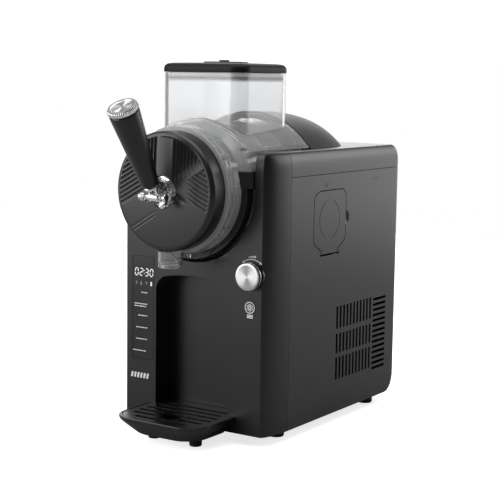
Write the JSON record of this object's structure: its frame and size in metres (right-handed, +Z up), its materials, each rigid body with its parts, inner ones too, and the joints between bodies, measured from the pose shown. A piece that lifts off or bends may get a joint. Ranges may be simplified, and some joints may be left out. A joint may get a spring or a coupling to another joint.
{
  "type": "slush machine",
  "caption": "Countertop slush machine: a clear freezing vessel with hopper and lid on a black housing, with a lever tap, level knob, display strip, cup recess and drip tray.",
  "frame": {"origin": "centre of the resting footprint's bounding box, on the counter", "axes": "+Z up, +Y towards the rear, the tap and cup recess face -Y, +X towards the side with the knob and hatch"},
  "size_m": [0.2, 0.4318, 0.4144],
  "materials": {
    "black_plastic": "fine-grained satin moulding",
    "gloss_black": "polished",
    "rubber": "matt moulded rubber",
    "clear_plastic": "clear polished copolyester",
    "silicone": "translucent silicone rubber",
    "chrome": "polished",
    "brushed_aluminium": "turned and brushed",
    "stainless": "brushed",
    "steel": "zinc-plated",
    "fin_aluminium": "mill finish fins",
    "white_plastic": "food-safe moulding",
    "nylon": "natural nylon",
    "copper": "drawn copper tube",
    "circuit_board": "solder-resist green",
    "painted_steel": "black enamel",
    "brass": "sintered bronze"
  },
  "bodies": {
    "machine": {"base_pan": "painted_steel", "front_shell": "black_plastic", "side_panel_right": "black_plastic", "side_panel_left": "black_plastic", "top_cover": "black_plastic", "rear_cover": "black_plastic", "rear_dome": "black_plastic", "cradle": "black_plastic", "foot_front_left": "rubber", "foot_front_right": "rubber", "foot_rear_left": "rubber", "foot_rear_right": "rubber", "hatch_pocket": "black_plastic", "power_inlet": "black_plastic", "display_window": "gloss_black", "display_board": "circuit_board", "knob_bezel": "black_plastic", "panel_board": "circuit_board", "bulkhead": "stainless", "freezing_drum": "stainless", "evaporator_coil": "copper", "shaft_seal": "silicone", "shaft_bearing": "brass", "gearmotor": "steel", "compressor": "painted_steel", "condenser": "fin_aluminium", "fan_shroud": "black_plastic", "fan_motor": "steel", "refrigerant_pipe": "copper"},
    "vessel": {"vessel": "clear_plastic", "vessel_gasket": "silicone", "vessel_collar": "gloss_black", "front_cover": "black_plastic", "front_seal": "silicone", "valve_body": "clear_plastic", "spout": "clear_plastic", "tap_pin": "chrome", "tap_spring": "steel"},
    "lid": {"lid": "black_plastic", "lid_gasket": "silicone"},
    "refill_flap": {"refill_flap": "black_plastic"},
    "tap_handle": {"tap_lever": "chrome", "tap_grip": "black_plastic", "grip_cap": "brushed_aluminium"},
    "plunger": {"plunger": "white_plastic", "plunger_seal": "silicone"},
    "auger": {"auger": "white_plastic", "drive_shaft": "stainless", "drive_gear": "nylon"},
    "motor_pinion": {"motor_pinion": "steel"},
    "condenser_fan": {"condenser_fan": "black_plastic"},
    "level_knob": {"level_knob": "brushed_aluminium"},
    "mode_button": {"mode_button": "black_plastic"},
    "drip_tray": {"drip_tray": "black_plastic", "tray_foot_left": "rubber", "tray_foot_right": "rubber"},
    "drip_grate": {"drip_grate": "black_plastic"},
    "side_hatch": {"side_hatch": "black_plastic", "hatch_pin": "steel"}
  },
  "joints": [
    {"name": "vessel_slide", "type": "slide", "parent": "machine", "child": "vessel", "axis": [0, -1, 0], "range_m": [0, 0.12]},
    {"name": "lid_lift", "type": "slide", "parent": "vessel", "child": "lid", "axis": [0, 0, 1], "range_m": [0, 0.06]},
    {"name": "refill_flap_open", "type": "hinge", "parent": "lid", "child": "refill_flap", "pos_m": [0, 0.00391, 0.4117], "axis": [-1, 0, 0], "range_deg": [0, 100]},
    {"name": "tap_handle_pull", "type": "hinge", "parent": "vessel", "child": "tap_handle", "pos_m": [0, -0.14709, 0.27], "axis": [1, 0, 0], "range_deg": [0, 38], "stiffness_Nm_per_rad": 0.25, "springref_deg": -28.65},
    {"name": "plunger_lift", "type": "slide", "parent": "vessel", "child": "plunger", "axis": [0, 0, 1], "range_m": [0, 0.0168]},
    {"name": "auger_spin", "type": "hinge", "parent": "machine", "child": "auger", "pos_m": [0, -0.02009, 0.275], "axis": [0, 1, 0], "continuous": true},
    {"name": "motor_pinion_spin", "type": "hinge", "parent": "machine", "child": "motor_pinion", "pos_m": [0, 0.05291, 0.2175], "axis": [0, 1, 0], "continuous": true},
    {"name": "condenser_fan_spin", "type": "hinge", "parent": "machine", "child": "condenser_fan", "pos_m": [0.056, 0.10691, 0.082], "axis": [1, 0, 0], "continuous": true},
    {"name": "level_knob_turn", "type": "hinge", "parent": "machine", "child": "level_knob", "pos_m": [0.078, -0.08009, 0.1865], "axis": [0, -1, 0], "continuous": true},
    {"name": "mode_button_press", "type": "slide", "parent": "machine", "child": "mode_button", "axis": [0, 1, 0], "range_m": [0, 0.0012], "stiffness_N_per_m": 600, "springref_m": -0.001},
    {"name": "drip_tray_slide", "type": "slide", "parent": "machine", "child": "drip_tray", "axis": [0, -1, 0], "range_m": [0, 0.07]},
    {"name": "drip_grate_lift", "type": "slide", "parent": "drip_tray", "child": "drip_grate", "axis": [0, 0, 1], "range_m": [0, 0.05]},
    {"name": "side_hatch_open", "type": "hinge", "parent": "machine", "child": "side_hatch", "pos_m": [0.09875, 0.04491, 0.2016], "axis": [0, 1, 0], "range_deg": [0, 95]}
  ],
  "couplings": [
    {"joint": "plunger_lift", "follows": "tap_handle_pull", "m_per_rad": 0.02503},
    {"joint": "motor_pinion_spin", "follows": "auger_spin", "ratio": -2.2857}
  ]
}
